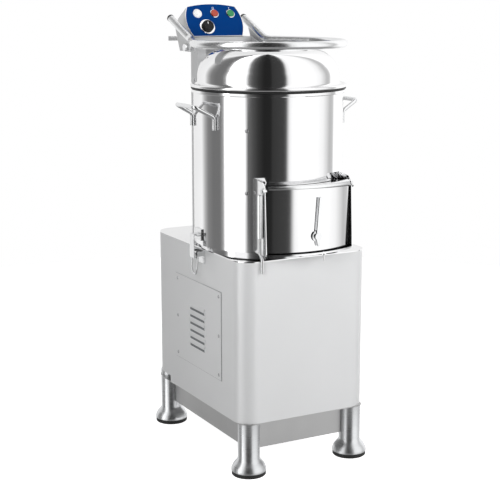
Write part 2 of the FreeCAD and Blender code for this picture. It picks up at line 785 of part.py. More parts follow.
# Door: a curved plate with a rolled top, hung on the hinge rod
def make_door():
    z0 = cheek_bottom_z + lip_t + door_bottom_gap
    z1 = hinge_z + roof_rise
    face = sector(door_r, door_r - door_t, door_half, z0, z1)
    y_edge = drum_y - math.sqrt(door_r ** 2 - door_half ** 2)
    roof = sector(door_r, drum_r + door_roof_gap, door_half, z1, z1 + door_t)
    roll_r = door_r - door_roll_r
    a = math.asin(door_half / roll_r)
    mid = [V(side * roll_r * math.sin(a), drum_y - roll_r * math.cos(a), z1) for side in (-1, 1)]
    arc = Part.Wire([Part.Arc(mid[0], V(0, drum_y - roll_r, z1), mid[1]).toShape()])
    roll = sweep_round(arc, door_roll_r)
    door = one([face, roof, roll])
    ears = []
    for side in (-1, 1):
        x0 = side * door_half
        x1 = side * (door_half - ear_t)
        ear = plate_x([(y_edge + 1, hinge_z - 10), (y_edge + 1, z1 + 1), (hinge_y + 12, z1 + 1),
                       (hinge_y + 12, hinge_z - 4), (hinge_y + 6, hinge_z - 10)], min(x0, x1), max(x0, x1))
        ears.append(ear)
    door = one([door] + ears)
    hole = rod(hinge_rod_r + RUN_GAP, 2 * door_half + 10, V(-door_half - 5, hinge_y, hinge_z), X_AXIS)
    door = door.cut(hole)
    door = door.cut(rod(lever_pin_r + RUN_GAP, 60, V(lever_x, drum_y - door_r - 20, lever_z), Y_AXIS))
    parts["discharge_door"] = door

    inner = door_r - door_t
    side_strip = cheek_x - cheek_t - SLIDE_GAP
    rubber = sector(inner, inner - seal_t, side_strip, z0 - 2, hinge_z - 14)
    rubber = rubber.cut(block(-door_half + 12, door_half - 12, drum_y - door_r - 1, drum_y,
                              z0 + 12, hinge_z))
    parts["door_seal"] = rubber


def make_lever():
    y_out = drum_y - door_r - 1.5
    y_in = drum_y - door_r + door_t + 6
    hub = rod(lever_hub_r, 3, V(lever_x, y_out, lever_z), V(0, -1, 0))
    pin = rod(lever_pin_r, y_in + cam_t + 1 - y_out, V(lever_x, y_out, lever_z), Y_AXIS)
    tip_x = lever_x + 10
    y0 = y_out - 3
    blade = polygon([V(lever_x - 3.5, y0, lever_z), V(lever_x + 3.5, y0, lever_z),
                     V(tip_x + 7, y0, lever_z + lever_len), V(tip_x - 6, y0, lever_z + lever_len)])
    blade = blade.extrude(V(0, -lever_t, 0))
    tail = polygon([V(lever_x - 6, y0, lever_z), V(lever_x + 6, y0, lever_z),
                    V(lever_x + 7, y0, lever_z - 24), V(lever_x + 1, y0, lever_z - 24)])
    tail = tail.extrude(V(0, -lever_t, 0))
    boss = rod(8, lever_t + 1.5, V(lever_x, y0, lever_z), V(0, -1, 0))
    lever = one([hub, pin, blade, tail, boss])
    cam_len = lever_z - cheek_bottom_z - lip_t - cam_gap
    cam = block(lever_x - 9, lever_x + 9, y_in, y_in + cam_t, lever_z - cam_len, lever_z + 12)
    cam = cam.cut(rod(lever_pin_r, 20, V(lever_x, y_in - 5, lever_z), Y_AXIS))
    parts["door_lever"] = group([lever, cam])


# Safety rod beside the door
def make_safety_rod():
    x = -cheek_x - guide_r
    y = hinge_y + 6
    tube = rod(guide_r, guide_top_z - guide_bottom_z, V(x, y, guide_bottom_z))
    guide = tube.cut(rod(rod_r + RUN_GAP, 400, V(x, y, guide_bottom_z - 100)))
    parts["chute_cheeks"] = group(parts["chute_cheeks"].Solids + [guide])
    jog_z = cabinet_top_z + rod_crank + 6
    front = cabinet_front_y - rod_r - rod_wall_gap
    points = [V(x, y, guide_top_z - rod_sunk), V(x, y, jog_z), V(x, front, jog_z - rod_crank),
              V(x, front, rod_end_z)]
    parts["safety_rod"] = rod_along(points, rod_r, rod_bend_r)


# Toggle latches: plate on the cabinet, keeper on the drum, lever and bail between
def make_latches():
    plates = []
    keepers = []
    for side, word in ((-1, "left"), (1, "right")):
        wall = side * cabinet_half
        out = side * (cabinet_half + latch_out)

        def slab(xa, xb, ya, yb, za, zb):
            return block(min(xa, xb), max(xa, xb), ya, yb, za, zb)

        plate = slab(wall, wall + side * 2, latch_y - latch_half, latch_y + latch_half,
                     latch_pivot_z - 26, latch_pivot_z + 6)
        cheeks = [slab(wall, out + side * 4, y - 1.5, y + 1.5, latch_pivot_z - 6, latch_pivot_z + 6)
                  for y in (latch_y - latch_half + 1.5, latch_y + latch_half - 1.5)]
        pivot = rod(latch_wire_r, 2 * latch_half, V(out, latch_y - latch_half, latch_pivot_z), Y_AXIS)
        screw = rod(screw_shank_r, 5, V(wall - side * 3, latch_y, latch_plate_mid_z()), V(side, 0, 0))
        plates.append(one([plate] + cheeks + [pivot, screw]))

        # lever: a wire loop hanging from the pivot, with a cross pin for the bail
        inner_half = latch_half - 3 - SLIDE_GAP - latch_wire_r
        sleeve = ring(latch_wire_r + 2, latch_wire_r + RUN_GAP, 2 * (inner_half + latch_wire_r),
                      V(out, latch_y - inner_half - latch_wire_r, latch_pivot_z), Y_AXIS)
        low = latch_pivot_z - latch_lever_len
        outer_x = out + side * 3
        loop = [V(out, latch_y - inner_half, latch_pivot_z - latch_wire_r - 1.5),
                V(outer_x, latch_y - inner_half - 1, low + 14), V(outer_x, latch_y - 8, low),
                V(outer_x, latch_y + 8, low), V(outer_x, latch_y + inner_half + 1, low + 14),
                V(out, latch_y + inner_half, latch_pivot_z - latch_wire_r - 1.5)]
        wire = rod_along(loop, latch_wire_r, 4)
        pin_x = out + side * 1.0
        cross = rod(latch_wire_r, 2 * inner_half, V(pin_x, latch_y - inner_half,
                                                    latch_pivot_z - bail_drop), Y_AXIS)
        parts[word + "_latch_lever"] = one([sleeve, wire, cross])

        # bail: a slim strap from the cross pin up to the keeper
        strap_half = inner_half - latch_wire_r - 1.0
        eye = ring(latch_wire_r + 2, latch_wire_r + RUN_GAP, 2 * strap_half,
                   V(pin_x, latch_y - strap_half, latch_pivot_z - bail_drop), Y_AXIS)
        face_x = pin_x + side * (latch_wire_r + 5.2)
        foot = slab(pin_x + side * (latch_wire_r + 1.0), face_x + side * 1.6, latch_y - strap_half,
                    latch_y + strap_half, latch_pivot_z - bail_drop - 1.5, latch_pivot_z - bail_drop + 1.5)
        strap = slab(face_x, face_x + side * 1.6, latch_y - strap_half, latch_y + strap_half,
                     latch_pivot_z - bail_drop - 1.5, bail_top_z)
        hook = slab(keeper_lip_x(side) - side * 3, face_x + side * 1.6, latch_y - strap_half,
                    latch_y + strap_half, bail_top_z - 1.6, bail_top_z)
        parts[word + "_latch_bail"] = one([eye, foot, strap, hook])

        lip = keeper_lip_x(side)
        top = bail_top_z - 1.6 - BODY_GAP
        ledge = slab(side * (drum_r - 12), lip, latch_y - keeper_half, latch_y + keeper_half, top - 2, top)
        back = slab(side * (drum_r - 12), side * (drum_r + 4), latch_y - keeper_half,
                    latch_y + keeper_half, top - 14, top + 14)
        keeper = one([ledge, back]).cut(rod(drum_r, 90, V(0, drum_y, top - 30)))
        keepers.append(keeper)
    parts["latch_fittings"] = group(plates + keepers)


def keeper_lip_x(side):
    return side * (drum_r + 14)


# Column, shelf and control box
def make_column():
    y0 = column_front_y
    y1 = column_rear_y
    t = column_sheet
    h = column_half
    outer = block(-h, h, y0, y1, column_bottom_z, column_top_z)
    inner = block(-h + t, h - t, y0 + t, y1 - t, column_bottom_z, column_top_z)
    slot = block(-h + column_flange, h - column_flange, y0, y0 + t, cabinet_top_z, column_top_z)
    column = outer.cut(inner).cut(slot)
    places = column_bolts()
    for at, way in places:
        column = column.cut(rod(screw_shank_r, 12, at - way * 8, way))
    parts["rear_column"] = column

    plate = block(-shelf_half, shelf_half, shelf_front_y, shelf_rear_y, shelf_z, shelf_z + shelf_t)
    front_lip = block(-shelf_half, shelf_half, shelf_front_y, shelf_front_y + shelf_t,
                      shelf_z - lip_h, shelf_z)
    rear_lip = block(-shelf_half, shelf_half, shelf_rear_y - shelf_t, shelf_rear_y,
                     shelf_z - lip_h, shelf_z)
    ears = []
    for side in (-1, 1):
        x1 = side * shelf_half
        x0 = side * (shelf_half - ear_plate_t)
        ear = plate_x([(pivot_y - 14, pivot_z - 12), (pivot_y + 40, pivot_z - 12),
                       (shelf_front_y + 70, shelf_z + 0.5), (shelf_front_y, shelf_z + 0.5),
                       (pivot_y - 14, pivot_z + 10)], min(x0, x1), max(x0, x1))
        ears.append(ear)
    g = stem_top_gap
    stem = block(-h + t + g, h - t - g, y0 + t + g, y1 - t - g, stem_bottom_z, shelf_z)
    core = block(-h + t + g + 3, h - t - g - 3, y0, y1 - t - g - 3, stem_bottom_z, shelf_z)
    stem = stem.cut(core)
    pads = [block(min(s * (h - t - g), s * (h - t)), max(s * (h - t - g), s * (h - t)),
                  y0 + t + g, y1 - t - g, stem_bottom_z, stem_bottom_z + 90) for s in (-1, 1)]
    shelf = one([plate, front_lip, rear_lip, stem] + ears + pads)
    shelf = shelf.cut(rod(pivot_r, 400, V(-200, pivot_y, pivot_z), X_AXIS))
    for at, way in places:
        shelf = shelf.cut(rod(screw_shank_r, 12, at - way * 8, way))
    parts["control_shelf"] = shelf


def column_bolts():
    y = (column_front_y + column_rear_y) / 2
    return [(V(side * column_half, y, z), V(side, 0, 0))
            for side in (-1, 1) for z in (bolt_z_low, bolt_z_high)]


def face_outline(inset):
    # the barrel outline of the control face in its own plane: x across, y up
    low = face_low_half - inset
    mid = face_mid_half - inset
    top = face_top_half - inset
    rise = face_top_v - 0.6 * inset
    r_low = V(low, inset, 0)
    r_mid = V(mid, face_mid_v, 0)
    r_top = V(top, rise, 0)
    l_low, l_mid, l_top = [V(-p.x, p.y, 0) for p in (r_low, r_mid, r_top)]
    crown = V(0, face_arc_v - inset, 0)
    edges = [Part.LineSegment(l_low, r_low).toShape(), Part.Arc(r_low, r_mid, r_top).toShape(),
             Part.Arc(r_top, crown, l_top).toShape(), Part.Arc(l_top, l_mid, l_low).toShape()]
    return Part.Face(Part.Wire(edges))


def to_face(shape):
    # moves a shape from the face's plane, Z outwards, to its tilted place
    matrix = FreeCAD.Matrix(1, 0, 0, 0,
                            0, sin_t, -cos_t, face_y,
                            0, cos_t, sin_t, face_z,
                            0, 0, 0, 1)
    moved = shape.copy()
    moved.Placement = FreeCAD.Placement(matrix)
    return moved


def make_control_box():
    solid = face_outline(0).extrude(V(0, 0, -box_depth))
    hollow = face_outline(box_wall).extrude(V(0, 0, -box_depth + 2 * box_wall))
    hollow.translate(V(0, 0, -box_wall))
    for u, v in (stop_at, start_at):
        hollow = hollow.fuse(rod(button_r + SLIDE_GAP, 10, V(u, v, -5)))
    hollow = hollow.fuse(rod(knob_stem_r + RUN_GAP, 10, V(timer_at[0], timer_at[1], -5)))
    case = to_face(solid.cut(hollow))
    under = block(-200, 200, face_y - 60, face_y + 200, shelf_z - 80, shelf_z + shelf_t)
    inside_floor = block(-200, 200, face_y - 60, face_y + 200, shelf_z - 80,
                         shelf_z + shelf_t + box_wall)
    base = to_face(solid).common(inside_floor).cut(under)
    parts["control_box"] = one([case.cut(under), base])

    sheet = face_outline(face_inset).extrude(V(0, 0, face_t))
    for u, v in (stop_at, start_at):
        sheet = sheet.cut(rod(button_r + SLIDE_GAP, 10, V(u, v, -5)))
    sheet = sheet.cut(rod(knob_stem_r + RUN_GAP, 10, V(timer_at[0], timer_at[1], -5)))
    parts["control_panel"] = to_face(sheet)


def make_controls():
    u, v = lamp_at
    lens = spin([(0, face_t), (lamp_r, face_t), (lamp_r, face_t + 3), (lamp_r - 1.5, face_t + 5),
                 (lamp_r * 0.6, face_t + 7.5), (0, face_t + 8.5)], V(u, v, 0))
    parts["pilot_lamp"] = to_face(lens)
    rings = []
    for u, v in (stop_at, start_at):
        rings.append(to_face(spin([(button_r + SLIDE_GAP, face_t), (bezel_r, face_t),
                                   (bezel_r, face_t + bezel_h - 1), (bezel_r - 1.5, face_t + bezel_h),
                                   (button_r + SLIDE_GAP, face_t + bezel_h)], V(u, v, 0))))
    blocks = []
    for name, (u, v) in (("stop_button", stop_at), ("start_button", start_at)):
        top = face_t + button_out
        cap = spin([(0, -button_stem), (button_r - 2, -button_stem), (button_r - 2, -4), (button_r, -4),
                    (button_r, top - 1), (button_r - 1, top), (0, top)], V(u, v, 0))
        parts[name] = to_face(cap)
        deep = button_stem + button_travel + BODY_GAP
        half = switch_body / 2
        case = Part.makeBox(switch_body, switch_body, switch_h, V(u - half, v - half, -deep - switch_h))
        collar = ring(button_r + SLIDE_GAP + 3, button_r + SLIDE_GAP, deep - box_wall, V(u, v, -deep))
        blocks.append(to_face(one([case, collar])))
    u, v = timer_at
    dial = spin([(knob_stem_r + RUN_GAP, face_t), (dial_r, face_t), (dial_r, face_t + dial_h - 1),
                 (dial_r - 1, face_t + dial_h), (knob_stem_r + RUN_GAP, face_t + dial_h)], V(u, v, 0))
    parts["control_rings"] = group(rings + [to_face(dial)])
    z0 = face_t + dial_h + BODY_GAP
    deep = knob_stem_len
    knob = spin([(0, -deep), (knob_stem_r, -deep), (knob_stem_r, z0), (knob_r, z0), (knob_r, z0 + 4),
                 (knob_r - 1, z0 + 5), (knob_r - 1.5, z0 + knob_h - 1), (knob_r - 2.5, z0 + knob_h),
                 (0, z0 + knob_h)], V(u, v, 0))
    slot = Part.makeBox(2.4, 10, 3, V(u - 1.2, v + 4, z0 + knob_h - 1))
    parts["timer_knob"] = to_face(knob.cut(slot))
    body = ring(timer_body_r, knob_stem_r + RUN_GAP, timer_body_h, V(u, v, -box_wall - timer_body_h))
    parts["switch_bodies"] = group(blocks + [to_face(body)])


# Lid: domed cover, top plate, bridge strap, tubular bow and hinge
def make_lid():
    centre = V(0, drum_y, 0)
    t = lid_wall
    inner_r = lid_r - t
    cx = lid_r - lid_shoulder_r
    top = lid_top_z
    half = math.sqrt(0.5)

    def shoulder(r):
        a = V(cx + r, drum_y, lid_shoulder_z)
        m = V(cx + r * half, drum_y, lid_shoulder_z + r * half)
        b = V(cx, drum_y, lid_shoulder_z + r)
        return a, m, b

    a0, m0, b0 = shoulder(lid_shoulder_r)
    a1, m1, b1 = shoulder(lid_shoulder_r - t)
    seat = lid_seat_z
    low0 = V(lid_r, drum_y, seat + lid_rim_h)
    out0 = V(lid_rim_r - 1.5, drum_y, seat + lid_rim_h)
    out1 = V(lid_rim_r, drum_y, seat + lid_rim_h - 1.5)
    out2 = V(lid_rim_r, drum_y, seat + 1.5)
    out3 = V(lid_rim_r - 1.5, drum_y, seat)
    in0 = V(inner_r, drum_y, seat)
    edges = [Part.Arc(a0, m0, b0).toShape(), Part.LineSegment(b0, V(0, drum_y, top)).toShape(),
             Part.LineSegment(V(0, drum_y, top), V(0, drum_y, top - t)).toShape(),
             Part.LineSegment(V(0, drum_y, top - t), b1).toShape(),
             Part.Arc(b1, m1, a1).toShape(), Part.LineSegment(a1, in0).toShape(),
             Part.LineSegment(in0, out3).toShape(), Part.LineSegment(out3, out2).toShape(),
             Part.LineSegment(out2, out1).toShape(), Part.LineSegment(out1, out0).toShape(),
             Part.LineSegment(out0, low0).toShape(), Part.LineSegment(low0, a0).toShape()]
    dome = Part.Face(Part.Wire(edges)).revolve(centre, Z_AXIS, 360)
    parts["lid_dome"] = dome
    parts["lid_gasket"] = ring(rim_r + 1, drum_r - drum_wall - 1, lid_gasket_t - BODY_GAP,
                               V(0, drum_y, drum_top_z + BODY_GAP))
    parts["lid_plate"] = spin([(0, top), (lid_plate_r, top), (lid_plate_r, top + lid_plate_t - 1),
                               (lid_plate_r - 1, top + lid_plate_t), (0, top + lid_plate_t)], centre)
    bow = make_bow()
    z0 = top + lid_plate_t
    strap = block(-bow_r - 4, bow_r + 4, drum_y - bridge_w / 2, drum_y + bridge_w / 2, z0, z0 + bridge_t)
    washer = rod(16, 3, V(0, drum_y, z0 + bridge_t))
    bolt = rod(8, 7, V(0, drum_y, z0 + bridge_t))
    parts["lid_bridge"] = one([strap.cut(bow), washer, bolt])
    parts["lid_bow"] = bow

    lugs = []
    for side in (-1, 1):
        x0 = side * (arm_x - lug_t / 2)
        x1 = side * (arm_x + lug_t / 2)
        lug = plate_x([(pivot_y - 12, pivot_z - 10), (pivot_y + 42, pivot_z - 10),
                       (pivot_y + 75, arm_z(pivot_y + 75)), (pivot_y - 12, bow_z)],
                      min(x0, x1), max(x0, x1))
        lug = lug.cut(bow)
        lug = lug.cut(rod(pivot_r + RUN_GAP, 60, V(side * arm_x - 30, pivot_y, pivot_z), X_AXIS))
        lugs.append(sorted(lug.Solids, key=lambda s: s.Volume)[-1])
    parts["hinge_lugs"] = group(lugs)
    end = arm_x + lug_t / 2 + 7
    axle = rod(pivot_r, 2 * end, V(-end, pivot_y, pivot_z), X_AXIS)
    caps = [rod(9, 5, V(x, pivot_y, pivot_z), X_AXIS) for x in (-end - 1, end - 4)]
    parts["lid_axle"] = one([axle] + caps)


def arm_z(y):
    # height of the arm's centre line behind its bend
    return bow_z + (arm_end_z - bow_z) * (y - arm_bend_y) / (arm_end_y - arm_bend_y)


def make_bow():
    # a front arc about the drum's axis, two arms that draw in, and raised tails
    reach = math.hypot(arm_x, arm_bend_y - drum_y)
    aim = math.atan2(arm_x, arm_bend_y - drum_y) + math.acos(bow_r / reach)
    tangent = V(bow_r * math.sin(aim), drum_y + bow_r * math.cos(aim), bow_z)
    edges = []
    for side in (-1, 1):
        t = V(side * tangent.x, tangent.y, bow_z)
        bend = V(side * arm_x, arm_bend_y, bow_z)
        tail = V(side * arm_x, arm_end_y, arm_end_z)
        a = (t - bend).normalize()
        b = (tail - bend).normalize()
        half = a.getAngle(b) / 2
        back = arm_bend_r / math.tan(half)
        first = bend + a * back
        last = bend + b * back
        middle = bend + (a + b).normalize() * (arm_bend_r / math.sin(half) - arm_bend_r)
        run = [Part.LineSegment(tail, last).toShape(), Part.Arc(last, middle, first).toShape(),
               Part.LineSegment(first, t).toShape()]
        if side < 0:
            edges += run
            front = V(0, drum_y - bow_r, bow_z)
            edges.append(Part.Arc(t, front, V(-t.x, t.y, bow_z)).toShape())
        else:
            edges += [Part.LineSegment(t, first).toShape(), Part.Arc(first, middle, last).toShape(),
                      Part.LineSegment(last, tail).toShape()]
    return sweep_round(Part.Wire(edges), bow_tube_r)


def make_screws():
    x = -cabinet_half - panel_t
    screws = [dome_screw(V(x, y, z), V(-1, 0, 0)) for y, z in screw_places()]
    for z in (bolt_low_on_drum, bolt_high_on_drum):
        at, way = on_drum(drum_bolt_angle, z, drum_r)
        screws.append(dome_screw(at, way))
    screws += [dome_screw(at, way) for at, way in column_bolts()]
    parts["dome_screws"] = group(screws)


make_cabinet()
make_stand()
make_service_panel()
make_drum()
make_drive()
make_services()
make_handles()
make_chute()
make_door()
make_lever()
make_safety_rod()
make_latches()
make_column()
make_control_box()
make_controls()
make_lid()
make_screws()

os.makedirs("parts", exist_ok=True)
whole = FreeCAD.BoundBox()
for name, shape in parts.items():
    shape.exportStep("parts/" + name + ".step")
    whole.add(shape.BoundBox)
    if not shape.isValid() or not shape.Solids:
        print("problem in", name)
print(len(parts), "nodes")
print("X", round(whole.XMin, 1), round(whole.XMax, 1), "Y", round(whole.YMin, 1),
      round(whole.YMax, 1), "Z", round(whole.ZMin, 1), round(whole.ZMax, 1))
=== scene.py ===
import bmesh
import bpy
import json
import math
import numpy as np
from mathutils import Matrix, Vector


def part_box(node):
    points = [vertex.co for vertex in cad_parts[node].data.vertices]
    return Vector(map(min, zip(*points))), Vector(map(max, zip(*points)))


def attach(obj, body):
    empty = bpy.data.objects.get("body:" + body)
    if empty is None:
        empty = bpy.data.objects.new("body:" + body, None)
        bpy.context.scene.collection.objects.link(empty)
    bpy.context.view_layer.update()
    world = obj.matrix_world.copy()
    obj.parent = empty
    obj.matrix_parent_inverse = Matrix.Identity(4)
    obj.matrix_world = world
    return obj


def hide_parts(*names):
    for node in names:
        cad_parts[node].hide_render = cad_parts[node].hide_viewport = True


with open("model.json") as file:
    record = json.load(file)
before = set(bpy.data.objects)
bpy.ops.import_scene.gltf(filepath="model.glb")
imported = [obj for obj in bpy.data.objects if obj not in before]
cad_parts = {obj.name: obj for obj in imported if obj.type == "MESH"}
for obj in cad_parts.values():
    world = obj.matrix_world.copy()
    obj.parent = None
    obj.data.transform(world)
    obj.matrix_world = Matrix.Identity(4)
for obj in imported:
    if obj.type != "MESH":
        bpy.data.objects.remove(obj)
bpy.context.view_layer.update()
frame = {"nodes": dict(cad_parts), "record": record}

cadNodes = frame["nodes"]
mm = 0.001
drumAxis = np.array([0.0, -67.5])  # x and y of the drum's middle, in millimetres
noiseLow, noiseHigh = 0.3, 0.7  # most of a noise texture's values lie between these
fullTurn = 2 * np.pi
quarterTurn = np.pi / 2
print("frame loaded:", len(cadNodes), "nodes")


# Node helpers for the finishes
def newFinish(name):
    # a material with its node tree and its shader
    material = bpy.data.materials.new(name)
    material.use_nodes = True
    tree = material.node_tree
    return material, tree, tree.nodes["Principled BSDF"]


def objectPoint(tree, scale=(1, 1, 1)):
    # Object coordinates multiplied by the scale along x, y and z
    coords = tree.nodes.new("ShaderNodeTexCoord")
    place = tree.nodes.new("ShaderNodeMapping")
    place.inputs["Scale"].default_value = scale
    tree.links.new(coords.outputs["Object"], place.inputs["Vector"])
    return place.outputs["Vector"]


def noiseOf(tree, point, scale, detail):
    noise = tree.nodes.new("ShaderNodeTexNoise")
    noise.inputs["Scale"].default_value = scale
    noise.inputs["Detail"].default_value = detail
    tree.links.new(point, noise.inputs["Vector"])
    return noise.outputs["Fac"]


def spread(tree, value, low, high):
    # the noise's usual span stretched in a straight line from low to high
    span = tree.nodes.new("ShaderNodeMapRange")
    span.inputs["From Min"].default_value = noiseLow
    span.inputs["From Max"].default_value = noiseHigh
    span.inputs["To Min"].default_value = low
    span.inputs["To Max"].default_value = high
    tree.links.new(value, span.inputs["Value"])
    return span.outputs["Result"]


def bumpFrom(tree, shader, value, strength, depth):
    bump = tree.nodes.new("ShaderNodeBump")
    bump.inputs["Strength"].default_value = strength
    bump.inputs["Distance"].default_value = depth
    tree.links.new(value, bump.inputs["Height"])
    tree.links.new(bump.outputs["Normal"], shader.inputs["Normal"])


def tintFrom(tree, shader, value, dark, light):
    # the base colour runs from dark to light over the noise's usual span
    ramp = tree.nodes.new("ShaderNodeValToRGB")
    ramp.color_ramp.elements[0].position = noiseLow
    ramp.color_ramp.elements[0].color = (*dark, 1)
    ramp.color_ramp.elements[1].position = noiseHigh
    ramp.color_ramp.elements[1].color = (*light, 1)
    tree.links.new(value, ramp.inputs["Fac"])
    tree.links.new(ramp.outputs["Color"], shader.inputs["Base Color"])


# What a metal or a moulded finish has where its own look doesn't say
metalBase = {"metallic": 1.0, "cloudScale": 5, "bumpDepth": 0.00002}
plasticBase = {"specular": 0.5, "coat": 0.0, "coatRough": 0.08, "glow": 0.0, "cloudScale": 12,
               "bumpDepth": 0.00005}


def grainedMetal(name, ownLook):
    # fine lines run across the stretched axis of the noise; a broad cloud shifts the tint a little
    look = {**metalBase, **ownLook}
    material, tree, shader = newFinish(name)
    shader.inputs["Metallic"].default_value = look["metallic"]
    lines = noiseOf(tree, objectPoint(tree, look["grain"]), look["grainScale"], 4)
    cloud = noiseOf(tree, objectPoint(tree), look["cloudScale"], 2)
    tintFrom(tree, shader, cloud, look["dark"], look["light"])
    tree.links.new(spread(tree, lines, *look["rough"]), shader.inputs["Roughness"])
    bumpFrom(tree, shader, lines, look["bump"], look["bumpDepth"])
    return material


def moulded(name, ownLook):
    # rubber, plastic and paint: a pebbled skin with a little change of gloss
    look = {**plasticBase, **ownLook}
    material, tree, shader = newFinish(name)
    shader.inputs["Metallic"].default_value = 0.0
    shader.inputs["Specular IOR Level"].default_value = look["specular"]
    shader.inputs["Coat Weight"].default_value = look["coat"]
    shader.inputs["Coat Roughness"].default_value = look["coatRough"]
    # glow is emission from the finish itself; on lamp_white it is painted light on the timer pointer and the
    # O and I marks, which are no lamps
    shader.inputs["Emission Color"].default_value = (1, 1, 1, 1)
    shader.inputs["Emission Strength"].default_value = look["glow"]
    skin = noiseOf(tree, objectPoint(tree), look["pebble"], 3)
    cloud = noiseOf(tree, objectPoint(tree), look["cloudScale"], 2)
    tintFrom(tree, shader, cloud, look["dark"], look["light"])
    tree.links.new(spread(tree, skin, *look["rough"]), shader.inputs["Roughness"])
    bumpFrom(tree, shader, skin, look["bump"], look["bumpDepth"])
    return material


# What each finish looks like; grain is the stretch along x, y and z
metalLooks = {
    "cabinet_steel": dict(dark=(0.70, 0.705, 0.71), light=(0.74, 0.745, 0.75), rough=(0.30, 0.38),
                          grain=(1, 1, 40), grainScale=14, bump=0.05, cloudScale=3, metallic=0.15),
    "drum_steel": dict(dark=(0.80, 0.80, 0.805), light=(0.85, 0.85, 0.855), rough=(0.06, 0.10),
                       grain=(1, 1, 60), grainScale=16, bump=0.03),
    "tube_steel": dict(dark=(0.74, 0.745, 0.75), light=(0.82, 0.825, 0.83), rough=(0.17, 0.25),
                       grain=(6, 6, 6), grainScale=30, bump=0.05),
    # box_steel is darker than cabinet_steel; on the base tray under the cabinet this darker tone is painted
    # shade for the recess
    "box_steel": dict(dark=(0.50, 0.50, 0.50), light=(0.56, 0.56, 0.56), rough=(0.36, 0.46),
                      grain=(1, 30, 1), grainScale=14, bump=0.1),
    "screw_steel": dict(dark=(0.42, 0.42, 0.43), light=(0.52, 0.52, 0.53), rough=(0.25, 0.35),
                        grain=(20, 20, 20), grainScale=40, bump=0.1),
    "ring_chrome": dict(dark=(0.80, 0.80, 0.80), light=(0.88, 0.88, 0.88), rough=(0.10, 0.16),
                        grain=(20, 20, 20), grainScale=40, bump=0.04),
    "bearing_steel": dict(dark=(0.52, 0.52, 0.54), light=(0.60, 0.60, 0.62), rough=(0.22, 0.32),
                          grain=(1, 1, 60), grainScale=30, bump=0.08),
    "leg_aluminium": dict(dark=(0.62, 0.63, 0.64), light=(0.74, 0.75, 0.76), rough=(0.26, 0.36),
                          grain=(1, 1, 50), grainScale=18, bump=0.25),
    "cast_housing": dict(dark=(0.16, 0.17, 0.18), light=(0.22, 0.23, 0.24), rough=(0.42, 0.58),
                         grain=(1, 1, 1), grainScale=260, bump=0.35, metallic=0.6),
    "abrasive": dict(dark=(0.06, 0.055, 0.05), light=(0.13, 0.12, 0.11), rough=(0.75, 0.95),
                     grain=(1, 1, 1), grainScale=420, bump=1.0, metallic=0.0, bumpDepth=0.0006),
}
plasticLooks = {
    "motor_paint": dict(dark=(0.13, 0.17, 0.22), light=(0.16, 0.20, 0.26), rough=(0.32, 0.44),
                        pebble=500, bump=0.12, coat=0.2),
    "black_rubber": dict(dark=(0.012, 0.012, 0.012), light=(0.022, 0.022, 0.022), rough=(0.48, 0.66),
                         pebble=600, bump=0.25),
    "belt_rubber": dict(dark=(0.018, 0.018, 0.018), light=(0.03, 0.03, 0.03), rough=(0.55, 0.7),
                        pebble=500, bump=0.25),
    "black_plastic": dict(dark=(0.018, 0.018, 0.02), light=(0.03, 0.03, 0.032), rough=(0.36, 0.46),
                          pebble=900, bump=0.12),
    "panel_blue": dict(dark=(0.0, 0.058, 0.29), light=(0.0, 0.068, 0.33), rough=(0.42, 0.5),
                       pebble=1100, bump=0.05, cloudScale=6, specular=0.06),
    # lamp_white glows; on the timer pointer and the O and I marks, which are no lamps, the glow is painted
    # light
    "lamp_white": dict(dark=(0.86, 0.86, 0.85), light=(0.90, 0.90, 0.89), rough=(0.10, 0.16),
                       pebble=300, bump=0.02, coat=0.6, glow=0.35),
    "button_red": dict(dark=(0.56, 0.045, 0.012), light=(0.66, 0.06, 0.018), rough=(0.22, 0.3),
                       pebble=700, bump=0.04, coat=0.4),
    "button_green": dict(dark=(0.0, 0.27, 0.07), light=(0.0, 0.33, 0.09), rough=(0.22, 0.3),
                         pebble=700, bump=0.04, coat=0.4),
    "knob_black": dict(dark=(0.008, 0.008, 0.008), light=(0.016, 0.016, 0.016), rough=(0.24, 0.34),
                       pebble=900, bump=0.08, specular=0.2),
}
finishes = {name: grainedMetal(name, look) for name, look in metalLooks.items()}
finishes.update({name: moulded(name, look) for name, look in plasticLooks.items()})
nodeSlots = {row["node"]: row["material_slot"] for row in frame["record"]["subparts"]}
for name, node in cadNodes.items():
    node.data.materials.clear()
    node.data.materials.append(finishes[nodeSlots[name]])
print("finishes made:", len(finishes))


# Mesh helpers: every new piece is a set of closed grids in millimetres
meshing = {"weld": 1e-6, "sliver": 1e-7, "sharpAngle": 32, "cornerSteps": 5, "domeSteps": 5, "domeTip": 1e-4}


def gridShell(points, aroundU=False, aroundV=True, caps=True):
    # quads between neighbouring rows and columns of the grid, joined round where asked
    rows, columns = points.shape[:2]
    index = np.arange(rows * columns).reshape(rows, columns)
    if aroundU:
        index = np.vstack([index, index[:1]])
    if aroundV:
        index = np.hstack([index, index[:, :1]])
    quads = np.stack([index[:-1, :-1], index[1:, :-1], index[1:, 1:], index[:-1, 1:]], axis=-1)
    faces = quads.reshape(-1, 4).tolist()
    if caps and not aroundU:
        faces.append(index[0, :columns][::-1].tolist())
        faces.append(index[-1, :columns].tolist())
    return points.reshape(-1, 3), faces


